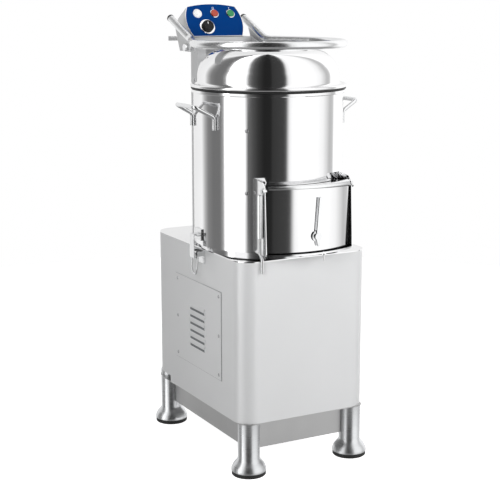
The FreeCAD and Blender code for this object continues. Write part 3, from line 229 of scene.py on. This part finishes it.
def makePiece(name, shells, slot, body, replaced=()):
    # the shells become one welded, outward-facing mesh in metres, smooth up to the sharp angle
    verts, faces, start = [], [], 0
    for points, quads in shells:
        verts.append(points)
        faces += [[i + start for i in quad] for quad in quads]
        start += len(points)
    mesh = bpy.data.meshes.new(name)
    mesh.from_pydata((np.vstack(verts) * mm).tolist(), [], faces)
    work = bmesh.new()
    work.from_mesh(mesh)
    bmesh.ops.remove_doubles(work, verts=work.verts, dist=meshing["weld"])
    bmesh.ops.dissolve_degenerate(work, edges=work.edges, dist=meshing["sliver"])
    bmesh.ops.recalc_face_normals(work, faces=work.faces)
    work.to_mesh(mesh)
    work.free()
    mesh.shade_smooth()
    mesh.set_sharp_from_angle(angle=math.radians(meshing["sharpAngle"]))
    piece = bpy.data.objects.new(name, mesh)
    bpy.context.scene.collection.objects.link(piece)
    mesh.materials.append(finishes[slot])
    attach(piece, body)
    if replaced:
        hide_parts(*replaced)


def turnedShell(profile, centre, segments):
    # the profile's (radius, height) points carried round the vertical through centre
    profile = np.array(profile, float)
    a = np.linspace(0, fullTurn, segments, endpoint=False)[:, None]
    x = centre[0] + profile[:, 0] * np.sin(a)
    y = centre[1] - profile[:, 0] * np.cos(a)
    z = np.broadcast_to(profile[:, 1], x.shape)
    return gridShell(np.stack([x, y, z], axis=-1), aroundU=True, aroundV=False)


def domedBar(start, end, radius, sides, up):
    # circles square to the line; their radius follows a quarter circle in from each tip.
    # On a bar shorter than two radii the two domes overlap inside it
    start, end = np.array(start, float), np.array(end, float)
    along = (end - start) / np.linalg.norm(end - start)
    t = np.linspace(0, quarterTurn, meshing["domeSteps"])[:-1]
    inward = radius * (1 - np.cos(t))[:, None]
    dome = radius * np.sin(t) + meshing["domeTip"]
    path = np.vstack([start + along * inward, start + along * radius,
                      end - along * radius, (end - along * inward)[::-1]])
    radii = np.concatenate([dome, [radius, radius], dome[::-1]])
    way = np.gradient(path, axis=0)
    way /= np.linalg.norm(way, axis=1)[:, None]
    side = np.cross(way, np.array(up, float))
    side /= np.linalg.norm(side, axis=1)[:, None]
    top = np.cross(side, way)
    a = np.linspace(0, fullTurn, sides, endpoint=False)[None, :, None]
    ring = side[:, None] * np.cos(a) + top[:, None] * np.sin(a)
    return gridShell(path[:, None] + ring * radii[:, None, None])


def plateShell(outline, origin, across, upward, low, high, bevel):
    # the outline pushed from low to high along its normal, with a small bevel at both faces
    outline = np.array(outline, float)
    before, after = np.roll(outline, 1, axis=0), np.roll(outline, -1, axis=0)
    ahead = after - before
    ahead /= np.linalg.norm(ahead, axis=1)[:, None] + 1e-12
    area = np.sum(outline[:, 0] * after[:, 1] - after[:, 0] * outline[:, 1])
    inward = np.stack([-ahead[:, 1], ahead[:, 0]], axis=1) * np.sign(area)
    origin, across, upward = (np.array(v, float) for v in (origin, across, upward))
    normal = np.cross(across, upward)
    layers = [(outline + inward * bevel, low), (outline, low + bevel),
              (outline, high - bevel), (outline + inward * bevel, high)]
    grid = [origin + p[:, :1] * across + p[:, 1:] * upward + normal * d for p, d in layers]
    return gridShell(np.stack(grid))


def roundedRect(x0, x1, y0, y1, radius):
    # four quarter circles, one about each corner's centre, in turn
    a = np.linspace(0, quarterTurn, meshing["cornerSteps"] + 1)
    corners = [(x1 - radius, y1 - radius, 0), (x0 + radius, y1 - radius, 1),
               (x0 + radius, y0 + radius, 2), (x1 - radius, y0 + radius, 3)]
    return np.vstack([np.stack([cx + radius * np.cos(a + q * quarterTurn),
                                cy + radius * np.sin(a + q * quarterTurn)], axis=1)
                      for cx, cy, q in corners])


# Domed lid with its rolled bead; sweep is the radius of the foot that runs out to the bead
lid = {"radius": 175.0, "wall": 1.5, "shoulder": 65.0, "top": 1016.0, "seat": 925.5, "rim": 193.0,
       "bead": 4.4, "beadIn": 0.2, "beadTurn": (118, -90), "sweep": 8, "sweepTop": 11.5, "segments": 160}


def makeLidDome():
    # a turned sheet: flat crown, quarter-round shoulder, straight wall, a foot that sweeps out to a bead
    a = np.linspace(quarterTurn, 0, 26)
    cx, cz = lid["radius"] - lid["shoulder"], lid["top"] - lid["shoulder"]
    outer = np.stack([cx + lid["shoulder"] * np.cos(a), cz + lid["shoulder"] * np.sin(a)], axis=1)
    insideR = lid["shoulder"] - lid["wall"]
    inner = np.stack([cx + insideR * np.cos(a[::-1]), cz + insideR * np.sin(a[::-1])], axis=1)
    beadR = lid["rim"] - lid["bead"] - lid["beadIn"]
    beadZ = lid["seat"] + lid["bead"]
    f = np.linspace(0, quarterTurn, 7)
    foot = np.stack([lid["radius"] + lid["sweep"] * (1 - np.cos(f)),
                     beadZ + lid["sweepTop"] - lid["sweep"] * np.sin(f)], axis=1)
    b = np.linspace(math.radians(lid["beadTurn"][0]), math.radians(lid["beadTurn"][1]), 16)
    bead = np.stack([beadR + lid["bead"] * np.cos(b), beadZ + lid["bead"] * np.sin(b)], axis=1)
    profile = np.vstack([[(0, lid["top"])], outer, foot, bead,
                         [(lid["radius"] - lid["wall"], lid["seat"])], inner,
                         [(0, lid["top"] - lid["wall"])]])
    makePiece("lid_dome_sheet", [turnedShell(profile, drumAxis, lid["segments"])],
              "drum_steel", "lid", ["lid_dome"])


makeLidDome()
# the sheet below mirrors the room and not the bow over it
cadNodes["lid_bow"].visible_glossy = False
print("lid dome made")


# Legs: brushed tubes that flare like a cone over their pads
leg = {"tube": 27.0, "bell": 43.0, "flareTop": 43.0, "rim": 16.5, "pad": 10.0, "topEdge": 1.0,
       "ease": (1.22, 0.22, 0.10), "lip": (1.4, 0.4), "lipIn": 0.7, "soleIn": 6, "soleUp": 0.3,
       "segments": 64}


def makeLegs():
    # the flare's radius eases out of the tube, runs straight and rounds over at the rim
    t = np.linspace(0, 1, 16)
    straight, cube, wave = leg["ease"]
    ease = straight * t - cube * t ** 3 + wave * np.sin(fullTurn * t) * (t - 1)
    swell = leg["tube"] + (leg["bell"] - leg["tube"]) * np.clip(ease, 0, 1)
    drop = leg["flareTop"] + (leg["rim"] - leg["flareTop"]) * t
    rim = [(leg["bell"], leg["pad"] + leg["lip"][0]),
           (leg["bell"] - leg["lipIn"], leg["pad"] + leg["lip"][1]),
           (leg["bell"] - leg["soleIn"], leg["pad"] + leg["soleUp"]), (0, leg["pad"] + leg["soleUp"])]
    for name in ("front_left_leg", "front_right_leg", "rear_left_leg", "rear_right_leg"):
        low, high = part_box(name)
        centre = [(low.x + high.x) / 2 / mm, (low.y + high.y) / 2 / mm]
        top = high.z / mm
        head = [(0, top), (leg["tube"] - leg["topEdge"], top), (leg["tube"], top - leg["topEdge"])]
        profile = np.vstack([head, np.stack([swell, drop], axis=1), rim])
        makePiece(name + "_tube", [turnedShell(profile, centre, leg["segments"])],
                  "leg_aluminium", "base", [name])


makeLegs()
print("legs made")


# Door's rolled top: a fat roll that grows towards its right end; plain is the CAD roll's radius
roll = {"path": 222.0, "half": 112.0, "height": 704.0, "left": 6.15, "right": 8.8, "plain": 6.0,
        "growth": 4, "tipShare": 1 / 40, "tipLeast": 0.02, "stations": 40, "sides": 20}


def makeDoorRoll():
    # circles along an arc about the drum axis; their radius grows with a power of the way to the
    # right end, and outwards only, so that the middle clears the drum when the door is up
    reach = math.asin(roll["half"] / roll["path"])
    a = np.linspace(-reach, reach, roll["stations"])
    t = (a + reach) / (2 * reach)
    radius = roll["left"] + (roll["right"] - roll["left"]) * t ** roll["growth"]
    out = roll["path"] + (radius - roll["plain"])
    middle = np.stack([out * np.sin(a), drumAxis[1] - out * np.cos(a), 0 * a + roll["height"]], axis=1)
    side = np.stack([np.sin(a), -np.cos(a), 0 * a], axis=1)
    # each tip's radius follows the square root of the way in, over its share of the length
    tip = np.sqrt(np.clip(np.minimum(t, 1 - t) / roll["tipShare"], roll["tipLeast"], 1))
    b = np.linspace(0, fullTurn, roll["sides"], endpoint=False)
    ring = side[:, None] * np.cos(b)[None, :, None] + np.array([0, 0, 1.0]) * np.sin(b)[None, :, None]
    makePiece("door_roll", [gridShell(middle[:, None] + ring * (radius * tip)[:, None, None])],
              "tube_steel", "door")


# Guide tube of the safety rod, drawn with six shallow ribs
guide = {"x": -126.5, "y": -255.5, "low": 587.5, "high": 689.5, "radius": 6.7, "rib": 0.7, "ribs": 6,
         "bore": 3.6, "edgeIn": 0.8, "edgeUp": 1, "sides": 72}


def makeGuide():
    # a tube whose outer radius waves once for each rib, bored through for the rod
    a = np.linspace(0, fullTurn, guide["sides"], endpoint=False)
    wave = guide["radius"] + guide["rib"] * np.cos(guide["ribs"] * a)
    bore = 0 * wave + guide["bore"]
    low, high = guide["low"], guide["high"]
    rows = [(wave - guide["edgeIn"], low), (wave, low + guide["edgeUp"]), (wave, high - guide["edgeUp"]),
            (wave - guide["edgeIn"], high), (bore, high), (bore, low)]
    grid = np.stack([np.stack([guide["x"] + r * np.cos(a), guide["y"] + r * np.sin(a), 0 * a + z], axis=1)
                     for r, z in rows])
    makePiece("guide_ribs", [gridShell(grid, aroundU=True)], "tube_steel", "base")


makeDoorRoll()
makeGuide()
print("door roll and guide made")


# Plugs in the open ends of the lid bow's arms
bow = {"x": 108.0, "end": (268.0, 1086.0), "bend": (140.0, 1031.0), "plugRadius": 9.7, "inside": 11,
       "outside": 3.0, "sides": 28}


def makeBowPlugs():
    # a short domed bar that runs along each arm, from inside it to a little past its end
    along = np.array([0.0, bow["end"][0] - bow["bend"][0], bow["end"][1] - bow["bend"][1]])
    along /= np.linalg.norm(along)
    for word, side in (("left", -1), ("right", 1)):
        end = np.array([side * bow["x"], *bow["end"]])
        plug = domedBar(end - along * bow["inside"], end + along * bow["outside"],
                        bow["plugRadius"], bow["sides"], (1, 0, 0))
        makePiece(word + "_bow_plug", [plug], "black_plastic", "lid")


makeBowPlugs()


# Latch pivots: two short black domed bars on each lever's pivot
latch = {"x": 195.0, "y": -50.0, "z": 522.0, "radius": 5.0, "inner": 8.6, "outer": 15.6, "sides": 20}


def makePivotBlackBars():
    # two short domed bars along the pivot, one on each side of the lever's plate
    for word, side in (("left", -1), ("right", 1)):
        x, z = side * latch["x"], latch["z"]
        shells = [domedBar((x, latch["y"] + s * latch["inner"], z), (x, latch["y"] + s * latch["outer"], z),
                           latch["radius"], latch["sides"], (0, 0, 1)) for s in (-1, 1)]
        makePiece(word + "_latch_pivot_black_bars", shells, "black_plastic", word + "_latch")


makePivotBlackBars()
print("bow plugs and latch knuckles made")


# Seam round the service panel
seam = {"y": (-156.0, 101.0), "z": (219.0, 441.0), "out": 1.0, "wide": 1.3, "face": -178.0,
        "clear": 0.05, "back": 0.2, "slope": 0.3}


def makePanelSeam():
    # a square-cornered frame just outside the panel's edge
    y0, y1 = seam["y"]
    z0, z1 = seam["z"]

    def loop(grow, x):
        return [(x, y0 - grow, z0 - grow), (x, y1 + grow, z0 - grow),
                (x, y1 + grow, z1 + grow), (x, y0 - grow, z1 + grow)]

    x0, x1 = seam["face"] + seam["back"], seam["face"] - seam["out"]
    grid = np.array([loop(seam["clear"], x0), loop(seam["clear"], x1),
                     loop(seam["wide"], x1 + seam["slope"]), loop(seam["wide"], x0)], float)
    makePiece("panel_seam", [gridShell(grid, aroundU=True)], "screw_steel", "base")


makePanelSeam()


# Louvres: a dark plate under each pressed hood, painted shade for the hood's opening, and a bright dimple at
# both its ends
louvre = {"y": -26.0, "z": 325.0, "pitch": 19.0, "count": 6, "half": 43.0, "drop": 7.2, "face": -179.5}
# sizes of the dark plates that are painted shade under the hoods
louvreShade = {"tall": 5.6, "endIn": 2, "corner": 2.4, "low": -0.5, "high": 0.1, "bevel": 0.15}
dimple = {"radius": 3.0, "back": 0.1, "out": 1.9, "up": 2.2, "stretch": 1.5}


def makeLouvres():
    # the painted shade strips are bevelled dark plates; a dimple is half an egg that stands out from the
    # panel
    half, tall = louvre["half"] - louvreShade["endIn"], louvreShade["tall"] / 2
    outline = roundedRect(-half, half, -tall, tall, louvreShade["corner"])
    a = np.linspace(0, quarterTurn, 6)[:, None]
    b = np.linspace(0, fullTurn, 14, endpoint=False)
    r = dimple["radius"] * np.cos(a)
    shadeStrips, ends = [], []
    for i in range(louvre["count"]):
        z = louvre["z"] + louvre["pitch"] * (i - (louvre["count"] - 1) / 2) - louvre["drop"]
        shadeStrips.append(plateShell(outline, (louvre["face"], louvre["y"], z), (0, 1, 0), (0, 0, 1),
                                 louvreShade["low"], louvreShade["high"], louvreShade["bevel"]))
        for side in (-1, 1):
            grid = np.stack([louvre["face"] + dimple["back"] - dimple["out"] * np.sin(a) + 0 * b,
                             louvre["y"] + side * louvre["half"] + r * np.cos(b),
                             z + dimple["up"] + dimple["stretch"] * r * np.sin(b)], axis=-1)
            ends.append(gridShell(grid))
    # dark plates in the cast housing's finish: painted shade under the hoods
    makePiece("louvre_painted_shade", shadeStrips, "cast_housing", "base")
    makePiece("louvre_dimples", ends, "cabinet_steel", "base")


makeLouvres()
print("panel seam and louvres made")


# Control face: bright edge trim, fluted knob and the plain O and I marks over the buttons.
# Across and up the face are u and v, and w stands square out of it
face = {"y": 203.0, "z": 1038.0, "tilt": 30.6, "sheet": 1.5, "low": 72.0, "mid": (82.5, 50.0),
        "top": (70.0, 88.5), "crown": 96.4, "inset": 1.2}
trim = {"radius": 0.9, "sink": 0.3, "insetShare": 0.4, "edgeIn": 0.6, "sideGap": 1, "headGap": 1.5,
        "footGap": 2}
knob = {"at": (-25.3, 28.0), "radius": 16.0, "flutes": 26, "depth": 0.9, "base": 4.1, "top": 12.0,
        "stem": 4, "stemBack": -25, "skirt": (0.6, 0.8), "shoulder": (1.2, 2.0, 0.5),
        "crown": (12.2, 0.2), "dish": (11.0, 1.6)}
pointer = {"half": 0.9, "from": 4.5, "to": 10.4, "corner": 0.6, "sink": 1.7, "thick": 0.5, "bevel": 0.15}
mark = {"ringAt": (4.6, 83.8), "ring": (2.2, 2.9), "bar": (51.5, 52.5, 80.9, 86.0), "corner": 0.4,
        "low": 1.45, "high": 1.75, "bevel": 0.08}


def onFace(u, v, w):
    # v leans back by the tilt, and w leans up by as much
    s, c = math.sin(math.radians(face["tilt"])), math.cos(math.radians(face["tilt"]))
    return np.stack([u + 0 * v + 0 * w, face["y"] + v * s - w * c, face["z"] + v * c + w * s], axis=-1)


def facePlate(outline, at, low, high, bevel):
    # a bevelled plate made flat, then carried onto the face with its origin at the given u and v
    points, faces = plateShell(outline, (0, 0, 0), (1, 0, 0), (0, 1, 0), low, high, bevel)
    return onFace(at[0] + points[:, 0], at[1] + points[:, 1], points[:, 2]), faces


def makeFaceTrim():
    # the barrel outline: a flat foot, sides through three widths and an arched head
    topU, topV = face["top"]
    fit = np.polyfit([0, face["mid"][1], topV], [face["low"], face["mid"][0], topU], 2)
    v = np.linspace(trim["sideGap"], topV - trim["sideGap"], 20)
    side = np.polyval(fit, v) - face["inset"] * trim["insetShare"]
    u = np.linspace(topU - trim["headGap"], -topU + trim["headGap"], 24)
    head = topV + (face["crown"] - topV) * (1 - (u / topU) ** 2) - trim["edgeIn"]
    foot = np.linspace(-face["low"] + trim["footGap"], face["low"] - trim["footGap"], 16)
    line = np.vstack([np.stack([side, v], 1), np.stack([u, head], 1),
                      np.stack([-side[::-1], v[::-1]], 1), np.stack([foot, 0 * foot + trim["edgeIn"]], 1)])
    ahead = np.roll(line, -1, axis=0) - np.roll(line, 1, axis=0)
    ahead /= np.linalg.norm(ahead, axis=1)[:, None]
    out = np.stack([ahead[:, 1], -ahead[:, 0]], axis=1)
    b = np.linspace(0, fullTurn, 10, endpoint=False)
    spot = line[:, None] + out[:, None] * (trim["radius"] * np.cos(b))[None, :, None]
    height = face["sheet"] - trim["sink"] + trim["radius"] * np.sin(b)[None, :] + 0 * spot[..., 0]
    makePiece("panel_trim", [gridShell(onFace(spot[..., 0], spot[..., 1], height), aroundU=True)],
              "ring_chrome", "base")


def makeKnob():
    # the grip's radius waves round its edge; a stem runs back into the timer
    a = np.linspace(0, fullTurn, 208, endpoint=False)
    grip = knob["radius"] - knob["depth"] * (0.5 - 0.5 * np.cos(knob["flutes"] * a))
    plain = np.ones_like(a)
    skirtIn, skirtUp = knob["skirt"]
    shoulderIn, shoulderLow, shoulderHigh = knob["shoulder"]
    crownR, crownDrop = knob["crown"]
    dishR, dishDrop = knob["dish"]
    base, top = knob["base"], knob["top"]
    rows = [(0 * plain, knob["stemBack"]), (knob["stem"] * plain, knob["stemBack"]),
            (knob["stem"] * plain, base), (grip - skirtIn, base), (grip, base + skirtUp),
            (grip, top - shoulderLow), (grip - shoulderIn, top - shoulderHigh),
            (crownR * plain, top - crownDrop), (dishR * plain, top - dishDrop), (0 * plain, top - dishDrop)]
    grid = np.stack([onFace(knob["at"][0] + r * np.cos(a), knob["at"][1] + r * np.sin(a), 0 * a + w)
                     for r, w in rows])
    makePiece("timer_grip", [gridShell(grid, caps=False)], "knob_black", "timer", ["timer_knob"])
    outline = roundedRect(-pointer["half"], pointer["half"], pointer["from"], pointer["to"],
                          pointer["corner"])
    low = top - pointer["sink"]
    plate = facePlate(outline, knob["at"], low, low + pointer["thick"], pointer["bevel"])
    # the pointer's lamp_white finish glows with painted light
    makePiece("timer_pointer", [plate], "lamp_white", "timer")


def makeMarks():
    # a ring over the stop button and a bar over the start button
    a = np.linspace(0, fullTurn, 28, endpoint=False)
    small, large = mark["ring"]
    rows = [(large, mark["low"]), (large, mark["high"]), (small, mark["high"]), (small, mark["low"])]
    ring = np.stack([onFace(mark["ringAt"][0] + r * np.cos(a), mark["ringAt"][1] + r * np.sin(a), 0 * a + w)
                     for r, w in rows])
    # the marks' lamp_white finish glows with painted light
    makePiece("stop_mark", [gridShell(ring, aroundU=True)], "lamp_white", "base")
    outline = roundedRect(*mark["bar"], mark["corner"])
    bar = facePlate(outline, (0, 0), mark["low"], mark["high"], mark["bevel"])
    makePiece("start_mark", [bar], "lamp_white", "base")


makeFaceTrim()
makeKnob()
makeMarks()
print("control face made")


# Stage: a pale floor, soft lamps and the room that polished steel mirrors
studio = {"seenLevel": 1.0, "plainLevel": 0.16}
# the camera stands at the photograph's angle, and the room is laid out from its turn
view = {"place": (-1.521, -2.788, 1.159), "turn": -28.38, "down": 11.71, "lens": 90.51, "sensor": 36,
        "far": 100}
floorLook = {"radius": 2.3, "sides": 96, "tint": 0.86, "rough": 0.9, "specular": 0.1,
             "seenLevel": 0.95, "plainLevel": 0.12}
# light level by angle from the camera's side, positive to its right
roomLevels = {-180: 0.9, -150: 0.95, -122: 1.05, -112: 0.5, -104: 0.26, -92: 0.19, -78: 0.19, -72: 0.4,
              -68: 1.4, -67: 3.2, -60: 3.2, -58: 1.3, -36: 1.3, -31: 0.25, -25: 0.10, -16: 0.045,
              -7: 0.020, 3: 0.022, 6: 0.045, 22: 0.06, 26: 0.12, 31: 1.1, 40: 1.3, 70: 1.3, 90: 1.1,
              101: 0.75, 105: 0.6, 113: 0.66, 117: 1.3, 150: 1.2, 180: 0.9}
# rows of the room: radius, height, a plain level, how far the row takes it up, and how far
# the row leans back from the camera
roomRows = [(1.0, -5.5, 0.30, 1.0, 0.0), (4.6, -3.5, 0.30, 1.0, 0.0), (4.6, -1.9, 0.34, 0.8, 0.0),
            (4.6, -1.1, 0.6, 0.35, 0.0), (4.6, -0.5, 0.9, 0.0, 0.0), (4.6, 3.0, 1.0, 0.0, 0.0),
            (4.2, 5.0, 1.0, 0.0, 0.7), (3.0, 6.6, 1.0, 0.0, 1.9), (1.4, 7.2, 1.0, 0.0, 3.2),
            (0.05, 6.6, 1.0, 0.0, 4.3)]
roomStep = 1.5  # degrees between the room's columns
lamps = {
    "key_lamp": dict(place=(0.9, -1.25, 0.95), aim=(0.05, -0.2, 0.4), size=(0.7, 0.7), power=12),
    "corner_lamp": dict(place=(-0.9, -0.8, 0.9), aim=(-0.15, -0.1, 0.35), size=(0.5, 0.5), power=6.5),
    "top_lamp": dict(place=(0.2, 0.2, 3.4), aim=(0, 0, 0.5), size=(2.0, 2.0), power=16),
}


def stageMesh(name, points, faces, material):
    mesh = bpy.data.meshes.new(name)
    mesh.from_pydata(points.tolist(), [], faces)
    mesh.materials.append(material)
    thing = bpy.data.objects.new(name, mesh)
    bpy.context.scene.collection.objects.link(thing)
    return thing


def levelFor(tree, value, plainLevel, seenLevel, target):
    # the target is the seen level where the value is one and the plain level where it is nought
    level = tree.nodes.new("ShaderNodeMapRange")
    level.inputs["To Min"].default_value = plainLevel
    level.inputs["To Max"].default_value = seenLevel
    tree.links.new(value, level.inputs["Value"])
    tree.links.new(level.outputs["Result"], target)


def makeFloor():
    # a flat disc that glows for the camera more than it does for other rays
    material, tree, shader = newFinish("pale_floor")
    shader.inputs["Base Color"].default_value = (*[floorLook["tint"]] * 3, 1)
    shader.inputs["Roughness"].default_value = floorLook["rough"]
    shader.inputs["Specular IOR Level"].default_value = floorLook["specular"]
    shader.inputs["Emission Color"].default_value = (1, 1, 1, 1)
    rays = tree.nodes.new("ShaderNodeLightPath")
    levelFor(tree, rays.outputs["Is Camera Ray"], floorLook["plainLevel"], floorLook["seenLevel"],
             shader.inputs["Emission Strength"])
    t = np.linspace(0, fullTurn, floorLook["sides"], endpoint=False)
    rim = np.stack([floorLook["radius"] * np.cos(t), floorLook["radius"] * np.sin(t), 0 * t], axis=1)
    floor = stageMesh("floor", rim, [list(range(floorLook["sides"]))], material)
    floor.visible_glossy = False


def makeRoom():
    # a bowl about the drum whose light level changes with the angle round it
    material, tree, shader = newFinish("room_glow")
    tree.nodes.remove(shader)
    glow = tree.nodes.new("ShaderNodeEmission")
    level = tree.nodes.new("ShaderNodeAttribute")
    level.attribute_name = "glow"
    tree.links.new(level.outputs["Fac"], glow.inputs["Strength"])
    tree.links.new(glow.outputs["Emission"], tree.nodes["Material Output"].inputs["Surface"])
    turn = np.arange(-180, 180, roomStep)
    base = np.interp(turn, list(roomLevels), list(roomLevels.values()))
    a = np.radians(turn + view["turn"])
    back = -math.radians(view["turn"])
    points, levels = [], []
    for radius, height, plain, share, lean in roomRows:
        points.append(np.stack([drumAxis[0] * mm + radius * np.sin(a) + lean * math.sin(back),
                                drumAxis[1] * mm - radius * np.cos(a) + lean * math.cos(back),
                                0 * a + height], axis=1))
        levels.append(base * (1 - share) + plain * share)
    shell, faces = gridShell(np.stack(points))
    room = stageMesh("reflection_room", shell, faces, material)
    glowLevel = room.data.attributes.new("glow", "FLOAT", "POINT")
    glowLevel.data.foreach_set("value", np.concatenate(levels).astype(np.float32))
    room.visible_camera = False
    room.visible_diffuse = False
    room.visible_shadow = False
    room.visible_transmission = False


def makeWorld():
    # white for the camera, for what metal mirrors and through glass; a plain level for other light
    world = bpy.data.worlds.new("studio")
    bpy.context.scene.world = world
    world.use_nodes = True
    tree = world.node_tree
    background = tree.nodes["Background"]
    background.inputs["Color"].default_value = (1, 1, 1, 1)
    rays = tree.nodes.new("ShaderNodeLightPath")
    seen = rays.outputs["Is Camera Ray"]
    for kind in ("Is Glossy Ray", "Is Transmission Ray"):
        either = tree.nodes.new("ShaderNodeMath")
        either.operation = "MAXIMUM"
        tree.links.new(seen, either.inputs[0])
        tree.links.new(rays.outputs[kind], either.inputs[1])
        seen = either.outputs[0]
    levelFor(tree, seen, studio["plainLevel"], studio["seenLevel"], background.inputs["Strength"])


def makeLamp(name, place, aim, size, power):
    # a rectangular lamp turned towards its aim, and left out of what metal mirrors
    light = bpy.data.lights.new(name, "AREA")
    light.shape = "RECTANGLE"
    light.size, light.size_y = size
    light.energy = power
    lamp = bpy.data.objects.new(name, light)
    bpy.context.scene.collection.objects.link(lamp)
    lamp.location = place
    lamp.rotation_euler = (Vector(aim) - Vector(place)).to_track_quat("-Z", "Y").to_euler()
    lamp.visible_glossy = False


makeFloor()
makeRoom()
makeWorld()
for name, lamp in lamps.items():
    makeLamp(name, **lamp)

# Camera at the photograph's angle
camera = bpy.data.objects.new("camera", bpy.data.cameras.new("camera"))
bpy.context.scene.collection.objects.link(camera)
camera.location = view["place"]
camera.rotation_euler = (math.radians(90 - view["down"]), 0, math.radians(view["turn"]))
camera.data.lens = view["lens"]
camera.data.sensor_width = view["sensor"]
camera.data.clip_end = view["far"]
bpy.context.scene.camera = camera
bpy.context.scene.view_settings.view_transform = "Standard"
print("stage, lamps and camera made")
